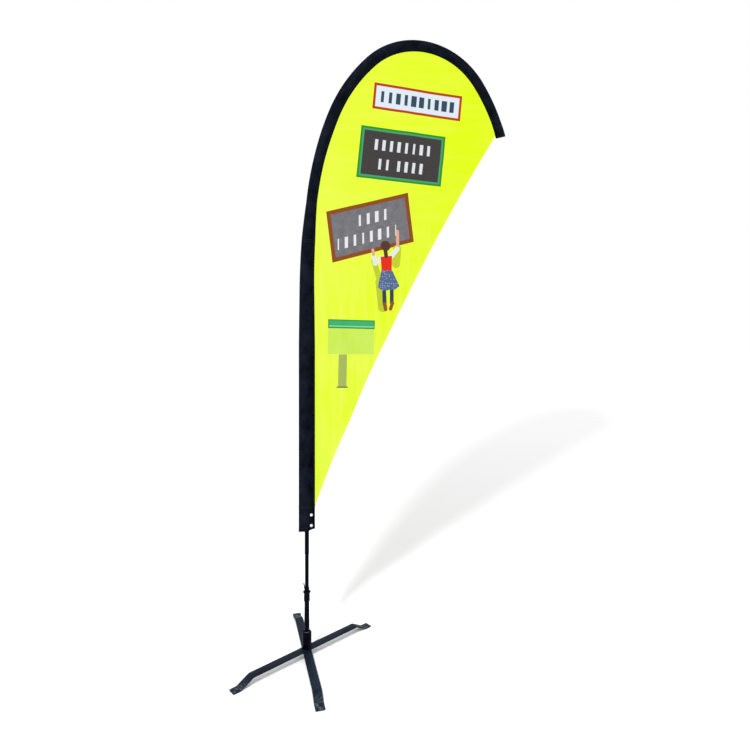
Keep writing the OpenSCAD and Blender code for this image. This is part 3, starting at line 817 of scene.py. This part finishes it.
def keep_flat(obj, flat):
    """Writes where each vertex lies on the flat cloth, in place of what was there."""
    attributes = obj.data.attributes
    if "flat" in attributes:
        attributes.remove(attributes["flat"])
    data = attributes.new("flat", "FLOAT_VECTOR", "POINT").data
    data.foreach_set("vector", joined(flat))


def cloth_tube(name, stations, section, place, node, cap=False, rise=1.0):
    """A sleeve of real thickness: outer and inner skins through the stations, joined at its ends.
    Each point keeps where it lies on the flat cloth: across, along, and how far from the seam.
    A step of 1 between stations is a length of cloth called rise."""
    points, flat, outer_rings, inner_rings = [], [], [], []
    for s in stations:
        outer, inner, half = section(s)
        for loop, rings in ((outer, outer_rings), (inner, inner_rings)):
            rings.append(range(len(points), len(points) + len(loop)))
            for n, y in loop:
                points.append(place(s, n, y))
                flat.append((n, s * rise, half - n))
    faces = []
    for rings in (outer_rings, inner_rings):
        faces += joined(strip(a, b) for a, b in zip(rings, rings[1:]))
    faces += strip(outer_rings[0], inner_rings[0])
    if cap:
        faces += [tuple(outer_rings[-1]), tuple(inner_rings[-1])]
    else:
        faces += strip(outer_rings[-1], inner_rings[-1])
    obj = make_piece(name, points, faces, SLEEVE, "flag", [node], 50)
    keep_flat(obj, flat)
    return obj


def spaced(start, end, step):
    count = max(2, round((end - start) / step))
    return [start + (end - start) * k / count for k in range(count + 1)]


def sleeve_shape(s):
    """The sleeve's half width, ridge and half edge at s. Its bottom hem opens over the cuff."""
    over = 1 - smooth_step(s, SLEEVE_START, SLEEVE_START + 0.016)
    return (half_width(s) + 0.5 * MM * over, lookup(s, SLEEVE_RIDGES) + 2.0 * MM * over,
            SEAM_HALF_T + 1.5 * MM * over)


def sleeve_at(s):
    return sleeve_section(s, *sleeve_shape(s), wrinkled=True)


def patch_at(s):
    """The reinforced tip: a second layer over the sleeve that closes down at its end."""
    half = half_width(s) + 0.4 * MM + (s - PATCH_AT) / 60
    shut = 1 - smooth_step(s, PATCH_END - 16 * MM, PATCH_END)
    ridge = 2.0 * MM + (lookup(s, SLEEVE_RIDGES) - 1.0 * MM) * (0.25 + 0.75 * shut)
    corner = max(0.0, s - (PATCH_END - 3 * MM)) / (3 * MM)
    half -= 3 * MM * (1 - math.sqrt(max(0.0, 1 - corner * corner)))
    return sleeve_section(s, half, ridge, SEAM_HALF_T + 0.5 * MM)


def flat_height(n):
    """Half the cuff's thickness where it is pressed flat beside the pole's pocket."""
    n, pocket = abs(n), 0.6 * CUFF_RIDGE
    if n < pocket:
        return math.sqrt(CUFF_RIDGE ** 2 - n * n)
    start = math.sqrt(CUFF_RIDGE ** 2 - pocket ** 2)
    return CUFF_HALF_T + (start - CUFF_HALF_T) * (1 - smooth_step(n, pocket, 14.5 * MM))


def cuff_at(t):
    """The cuff's section at share t of its height: a pocket for the pole, flat by the eyelets."""
    hem = 0.45 * MM * (1 - smooth_step(t, HEM_SHARE, HEM_SHARE + 0.006))
    pinch = 1 - smooth_step(t, 0.72, 0.98)
    outer, inner, half = sleeve_section(t, CUFF_HALF, CUFF_RIDGE - hem, CUFF_HALF_T - hem, hem)
    pressed = []
    for loop, thin in ((outer, 0.0), (inner, CLOTH_T)):
        row = []
        for n, y in loop:
            flat_y = math.copysign(flat_height(n) + hem - thin, y)
            share = pinch if n > 0 else pinch * 0.35
            sway = noise.noise((n * 60, t * 5, 4.0 + math.copysign(2, y))) * 0.5 * MM
            near = smooth_step(abs(n), 0.012, 0.017) * (1 - smooth_step(abs(n), 0.030, 0.036))
            row.append((n, y + (flat_y - y) * share + sway * near * (1 if n < 0 else 0.2)))
        pressed.append(row)
    return *pressed, half


def cuff_place(t, n, y):
    """A point on the cuff, whose bottom edge slopes up on the flag's side."""
    low = CUFF_LOW + max(0.0, n) * CUFF_SLOPE
    return Vector((n, y, low + t * (CUFF_TOP - low)))


class Stitches:
    """Rows of stitches, each a small spindle of thread lying on the cloth."""

    def __init__(self, length=3.4 * MM, gap=1.1 * MM, thick=0.30 * MM):
        self.length, self.pitch, self.thick = length, length + gap, thick
        self.points, self.faces = [], []

    def row(self, places, side):
        """Sews along a line of places on one side of the cloth."""
        travelled, due = 0.0, self.pitch / 2
        for a, b in zip(places, places[1:]):
            run = b - a
            while due <= travelled + run.length:
                self.stitch(a + run * ((due - travelled) / run.length), run.normalized(), side)
                due += self.pitch
            travelled += run.length

    def stitch(self, centre, along, side):
        out = Vector((0, side, 0))
        breadth = along.cross(out).normalized() * self.thick
        rise = out * self.thick * 0.8
        end = along * self.length / 2
        first = len(self.points)
        self.points += [centre - end - rise * 0.6, centre + end - rise * 0.6]
        for shoulder in (-end * 0.72, end * 0.72):
            self.points += [centre + shoulder + way for way in (breadth, rise, -breadth, -rise)]
        for k in range(4):
            a, b = first + 2 + k, first + 2 + (k + 1) % 4
            c, d = a + 4, b + 4
            self.faces += [(first, b, a), (a, b, d, c), (c, d, first + 1)]

    def sew(self, name, material=THREAD):
        return make_piece(name, self.points, self.faces, material, "flag", sharp=80)


def on_sleeve(s, n, side, lift):
    half, ridge, edge = sleeve_shape(s)
    return beside(s, n, side * (lens_height(n, half, ridge, edge) + lift + ripple(s, n, side, half)))


def across_face(section, t, place, side, margin):
    """A line of places across one face of a cloth tube's section at t, a margin in from its edges."""
    outer, _, half = section(t)
    face = sorted(p for p in outer if p[1] * side > 0 and abs(p[0]) < half - margin)
    return [place(t, n, y + side * 0.1 * MM) for n, y in face]


def sew_sleeve():
    """Two rows along the flag side's seam, and rows across the joints and the bottom hem."""
    seam = Stitches()
    crossings = [at + off for at in (CROWN_FROM, CROWN_TO) for off in (-4 * MM, 4 * MM)]
    for side in (-1, 1):
        for inset in SEAM_ROWS:
            seam.row([on_sleeve(s, sleeve_shape(s)[0] - inset, side, 0.1 * MM)
                      for s in spaced(SLEEVE_START, PATCH_AT, 8 * MM)], side)
        for s in crossings + [SLEEVE_START]:
            half = sleeve_shape(s)[0]
            seam.row([on_sleeve(s, f * half, side, 0.25 * MM) for f in np.linspace(-0.96, 0.96, 40)],
                     side)
    return seam.sew("sleeve_stitches")


def sew_cuff():
    """The hem's row, and one up the edge beside the eyelets."""
    seam = Stitches()
    hem_row, edge_row, lift = HEM_SHARE - 0.03, CUFF_HALF - SEAM_ROWS[0], 0.15 * MM
    for side in (-1, 1):
        seam.row(across_face(cuff_at, hem_row, cuff_place, side, 1.5 * MM), side)
        seam.row([cuff_place(t, edge_row, side * (CUFF_HALF_T + lift))
                  for t in np.linspace(0.2, 0.95, 30)], side)
    return seam.sew("cuff_stitches")


def sew_patch():
    """A box of stitches round the reinforced tip."""
    seam = Stitches()
    low, high = PATCH_AT + 4 * MM, PATCH_END - 5 * MM
    for side in (-1, 1):
        for s in (low, PATCH_AT + 9 * MM, high):
            seam.row(across_face(patch_at, s, beside, side, 2 * MM), side)
        for edge in (-1, 1):
            line = []
            for s in np.linspace(low, high, 12):
                outer, _, half = patch_at(s)
                n = edge * (half - 3 * MM)
                _, y = min((p for p in outer if p[1] * side > 0), key=lambda p: abs(p[0] - n))
                line.append(beside(s, n, y + side * 0.1 * MM))
            seam.row(line, side)
    return seam.sew("tip_stitches")


EYELET_HOLE_R, EYELET_CUT_R = 4.25 * MM, 5.0 * MM


def eyelet_places():
    """The centre of each eyelet, and the radius of its flange."""
    low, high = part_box("eyelets")
    flange_r = (high[0] - low[0]) / 2
    return [((low[0] + high[0]) / 2, 0, z) for z in (low[2] + flange_r, high[2] - flange_r)], flange_r


def eyelet_parts():
    """Two rolled nickel eyelets with their washers, set through the cuff."""
    centres, flange_r = eyelet_places()
    hole = EYELET_HOLE_R
    barrel = hole + 0.8 * MM
    bore = barrel + 0.02 * MM
    face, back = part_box("eyelets")[0][1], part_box("eyelet_washers")[1][1]
    seat, rear = -CUFF_HALF_T, CUFF_HALF_T + 0.8 * MM
    front = [(hole, rear, 0.2), (hole, face, 1.4), (flange_r, face, 0.7),
             (flange_r, seat, 0.2), (barrel, seat, 0), (barrel, rear, 0.2)]
    washer = [(bore, back - 0.8 * MM, 0), (flange_r, back - 0.8 * MM, 0.2),
              (flange_r, back, 0.5), (bore, back, 0.3)]
    made = []
    for name, outline, node in (("eyelet_rings", front, "eyelets"),
                                ("eyelet_backs", washer, "eyelet_washers")):
        points, faces = [], []
        for centre in centres:
            rings = turned(rounded(outline), 64, centre, along_y=True)
            faces += shifted(bridged(rings), len(points))
            points += joined(rings)
        made.append(make_piece(name, points, faces, NICKEL, "flag", [node]))
    return made


# -------- panel

GRID = 10 * MM
# How far the even points keep from the outline and the hem's rows, and those rows from the seam
ROW_CLEAR, SEAM_CLEAR = 0.62 * GRID, 6 * MM
# Half the cloth's thickness. The hem, with its folded layers, is five of these thick
PANEL_HALF_T = 0.18 * MM
SINGLE_SHARE = 2 / 5
TUCK = 4 * MM


def panel_sides():
    """The seam side as (x, z) points from the bottom corner up, and the free side back down."""
    start = SLEEVE_START + 0.3 * MM
    seam = []
    for s in spaced(start, PATCH_AT, GRID):
        tuck = TUCK * smooth_step(s, start, start + 0.03)
        p = beside(s, half_width(s) + 0.3 * MM - tuck)
        seam.append((p.x, p.z))
    corner = beside(CORNER_AT, half_width(CORNER_AT) + 2.6 * MM)
    top = Vector((corner.x, corner.z))
    chord = Vector(seam[0]) - top
    across = Vector((chord.y, -chord.x)).normalized()
    count = round(chord.length / GRID)
    free = []
    for f in (k / count for k in range(count + 1)):
        free.append(tuple(top + chord * f + across * FREE_EDGE_SAG * 4 * f * (1 - f)))
    return seam, free


def inset_line(free, by):
    """The free side moved into the cloth."""
    line = []
    for before, here, after in zip(free, free[1:], free[2:]):
        run = Vector(after) - Vector(before)
        line.append(tuple(Vector(here) + Vector((run.y, -run.x)).normalized() * by))
    return line


def distance_to(points, line):
    """For each point, the distance to the nearest point of a closely spaced line."""
    line = np.array(line)
    best = np.full(len(points), np.inf)
    for start in range(0, len(line), 64):
        part = line[start:start + 64]
        gap = np.linalg.norm(points[:, None, :] - part[None, :, :], axis=2).min(axis=1)
        best = np.minimum(best, gap)
    return best


def panel_mesh():
    """A flat mesh of even triangles, with rows of its own along the free edge's hem."""
    seam, free = panel_sides()
    rim = seam + free[:-1]
    hem_rows = []
    for inset in (HEM_W * 0.5, HEM_W, HEM_W + 1 * MM):
        row = inset_line(free, inset)
        gaps = distance_to(np.array(row), seam)
        hem_rows.append([p for p, gap in zip(row, gaps) if gap > SEAM_CLEAR])
    low, high = np.min(rim, axis=0), np.max(rim, axis=0)
    cloud = []
    for i, z in enumerate(np.arange(low[1], high[1], GRID * math.sqrt(3) / 2)):
        cloud += [(x, z) for x in np.arange(low[0] + (i % 2) * GRID / 2, high[0], GRID)]
    cloud = np.array(cloud)
    cloud = cloud[distance_to(cloud, rim + joined(hem_rows)) > ROW_CLEAR]
    spots, edges = list(rim), []
    for row in hem_rows:
        edges += [(len(spots) + k, len(spots) + k + 1) for k in range(len(row) - 1)]
        spots += row
    spots += list(cloud[distance_to(cloud, free) > HEM_W + 5 * MM])
    outline = [list(range(len(rim)))]
    verts, _, faces, _, _, _ = delaunay_2d_cdt([Vector(p) for p in spots], edges, outline, 1, 1e-6)
    return [tuple(v) for v in verts], faces, seam, free


def wave(x, z, from_seam):
    """Shallow standing waves along the free edge, none at the seam."""
    loose = smooth_step(from_seam, 0.02, 0.30)
    along = z * 0.92 + x * 0.35
    slow = math.sin(TAU * (along / 0.62 + 0.25 * noise.noise((x * 2, z * 2, 0))))
    small = noise.noise((x * 5.0, z * 3.2, 3.0))
    return loose * (6.5 * MM * slow + 6.0 * MM * small)


def simulate(cloth, pins, frames=36):
    """Hangs the panel from its pins in a light breeze, and keeps the shape that it takes."""
    scene = bpy.context.scene
    gravity = scene.gravity.copy()
    scene.gravity = (0.15, 0.5, -9.81)
    cloth.vertex_groups.new(name="pins").add(pins, 1.0, "REPLACE")
    sim = cloth.modifiers.new("cloth", "CLOTH")
    for key, value in dict(vertex_group_mass="pins", quality=7, mass=0.012, air_damping=3.0,
                           tension_stiffness=60, compression_stiffness=30, shear_stiffness=20,
                           bending_stiffness=0.4, tension_damping=12, compression_damping=12,
                           shear_damping=12).items():
        setattr(sim.settings, key, value)
    sim.collision_settings.use_collision = False
    sim.point_cache.frame_start, sim.point_cache.frame_end = 1, frames
    scene.frame_start, scene.frame_end = 1, frames
    for k in range(1, frames + 1):
        scene.frame_set(k)
    settle(cloth)
    scene.frame_set(1)
    scene.gravity = gravity


def thicken(obj, from_free):
    """Gives the cloth its two faces, and the hem its folded layers."""
    hem = obj.vertex_groups.new(name="hem")
    for k, gap in enumerate(from_free):
        hem.add([k], 1.0 if gap < HEM_W + 0.3 * MM else SINGLE_SHARE, "REPLACE")
    solid = obj.modifiers.new("thickness", "SOLIDIFY")
    solid.thickness = 5 * PANEL_HALF_T
    solid.offset = 0
    solid.vertex_group = "hem"
    solid.thickness_vertex_group = 0
    settle(obj)
    smooth(obj.data, 60)


def sew_hem(heights, spots, free):
    """One row along the free edge, on both faces, following the cloth as it hangs."""
    seam = Stitches(2.6 * MM, 0.9 * MM, 0.24 * MM)
    tree = KDTree(len(spots))
    for k, (x, z) in enumerate(spots):
        tree.insert((x, 0, z), k)
    tree.balance()
    for side in (-1, 1):
        row = []
        for x, z in inset_line(free, HEM_W - 2 * MM)[2:-2]:
            near = [(1 / (gap + 1e-6), heights[i]) for _, i, gap in tree.find_n((x, 0, z), 3)]
            y = sum(w * h for w, h in near) / sum(w for w, _ in near)
            row.append(Vector((x, y + side * 0.55 * MM, z)))
        seam.row(row, side)
    return seam.sew("hem_stitches", YELLOW_THREAD)


def flag_cloth():
    verts, faces, seam, free = panel_mesh()
    spots = np.array(verts)
    from_seam, from_free = distance_to(spots, seam), distance_to(spots, free)
    points = [(x, wave(x, z, gap), z) for (x, z), gap in zip(verts, from_seam)]
    obj = make_piece("flag_cloth", points, faces, PRINT, "flag", ["flag_panel"], 60)
    keep_flat(obj, [(x, gap, z) for (x, z), gap in zip(verts, from_free)])
    from_tip = np.linalg.norm(spots - np.array(free[0]), axis=1)
    sewn, tip_reach = 2 * MM, 50 * MM
    pins = [int(k) for k in np.nonzero((from_seam < sewn) | (from_tip < tip_reach))[0]]
    simulate(obj, pins)
    heights = [v.co.y for v in obj.data.vertices]
    thicken(obj, from_free)
    return obj, sew_hem(heights, spots, free)


# -------- the object


def paint_hidden_nodes():
    """Gives the CAD nodes that stay their materials."""
    for material, nodes in (
            (ZINC, "pivot_bolt bolt_washer outer_spacer inner_spacer spindle_shaft"),
            (BEARING, "bearing_outer_rings bearing_inner_rings bearing_balls"),
            (SPRING, "housing_circlip shaft_circlip"), (RUBBER, "dust_seal socket_stop tip_cap"),
            (NYLON, "friction_washer"), (BRASS, "bearing_cages"), (PLASTIC, "bottom_plug"),
            (TUBE, "lower_pole"), (BARE, "rod_stop_ring tip_ferrule"),
            (FIBREGLASS, "bend_rod tip_rod")):
        for node in nodes.split():
            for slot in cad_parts[node].material_slots:
                slot.material = material


def build_sleeve():
    seam = sew_sleeve()
    for name, low, high, node in (
            ("sleeve_cloth_lower", SLEEVE_START - HEM_OVER, CROWN_FROM, "sleeve_lower"),
            ("sleeve_cloth_crown", CROWN_FROM + 0.1 * MM, CROWN_TO, "sleeve_crown"),
            ("sleeve_cloth_tip", CROWN_TO + 0.1 * MM, PATCH_AT + 2 * MM, "sleeve_tip")):
        cloth = cloth_tube(name, spaced(low, high, 5 * MM), sleeve_at, beside, node)
        2 * half_width((low + high) / 2) * 2 + 20 * MM
    patch = cloth_tube("tip_patch_cloth", spaced(PATCH_AT, PATCH_END, 1.5 * MM), patch_at, beside,
                       "tip_patch", cap=True)
    sew_patch()
    cuff = cloth_tube("cuff_cloth", spaced(0, 1, 0.02), cuff_at, cuff_place, "sleeve_cuff",
                      rise=CUFF_TOP - CUFF_LOW)
    drill(cuff, eyelet_places()[0], EYELET_CUT_R, 20 * MM, along_y=True)
    keep_flat(cuff, [(v.co.x, v.co.z, CUFF_HALF - v.co.x) for v in cuff.data.vertices])
    [sew_cuff()] + eyelet_parts()


def build_object():
    flat_bar("bar_upper", "upper_bar", UPPER_BAR_AZ, "base")
    flat_bar("bar_lower", "lower_bar", LOWER_BAR_AZ, "lower_leg")
    weld_beads()
    hub()
    spindle_parts()
    bottom_tube()
    hook_clip()
    ferrule()
    build_sleeve()
    cloth, hem = flag_cloth()
    paint_hidden_nodes()


# -------- stage and light


def make_stage():
    """A pale floor that is whitest under the base and far away: painted light that thins the shadows
    close round the base and the lamp's shadow far off.
    """
    size, z = 60.0, -0.4 * MM
    corners = [(-size, -size, z), (size, -size, z), (size, size, z), (-size, size, z)]
    mesh = new_mesh("floor", corners, [(0, 1, 2, 3)])
    f = Finish("studio_floor", Roughness=0.9, Specular_IOR_Level=0.0)
    where = f.coords()
    away = f.vector("LENGTH", where)
    # Painted light: the floor grows paler with distance, so the lamp's shadow fades far off
    shade = f.add(f.remap(away, 1.5, 5.5, 0.850, 0.935), f.remap(away, 5.5, 13.0, 0.0, 0.045))
    # Painted light round the base, which thins the contact shadows under the bars and hub
    shade = f.add(shade, f.remap(away, 0.40, 0.65, 0.135, 0.0))
    shade = f.times_add(f.noise(where, 3.0, 2.0), 0.008, shade)
    f.set(Base_Color=f.node("CombineColor", {0: shade, 1: shade, 2: shade}).outputs[0])
    mesh.materials.append(f.material)
    new_object("floor", mesh)


def make_light():
    """White all round, and one soft lamp, above the camera's left, that throws the faint shadow."""
    world = bpy.data.worlds.new("studio")
    world.use_nodes = True
    background = world.node_tree.nodes["Background"]
    background.inputs["Color"].default_value = (1.0, 1.0, 1.0, 1.0)
    background.inputs["Strength"].default_value = 1.0
    bpy.context.scene.world = world
    data = bpy.data.lights.new("lamp", "POINT")
    data.energy = 22.0
    data.shadow_soft_size = 0.22
    data.use_nodes = True
    tree = data.node_tree
    even = tree.nodes.new("ShaderNodeLightFalloff")
    even.inputs["Strength"].default_value = 1.0
    tree.links.new(even.outputs["Constant"], tree.nodes["Emission"].inputs["Strength"])
    new_object("lamp", data).location = (-1.357, -2.359, 3.78)
    bpy.context.scene.view_settings.view_transform = "Standard"


build_object()
make_stage()
make_light()
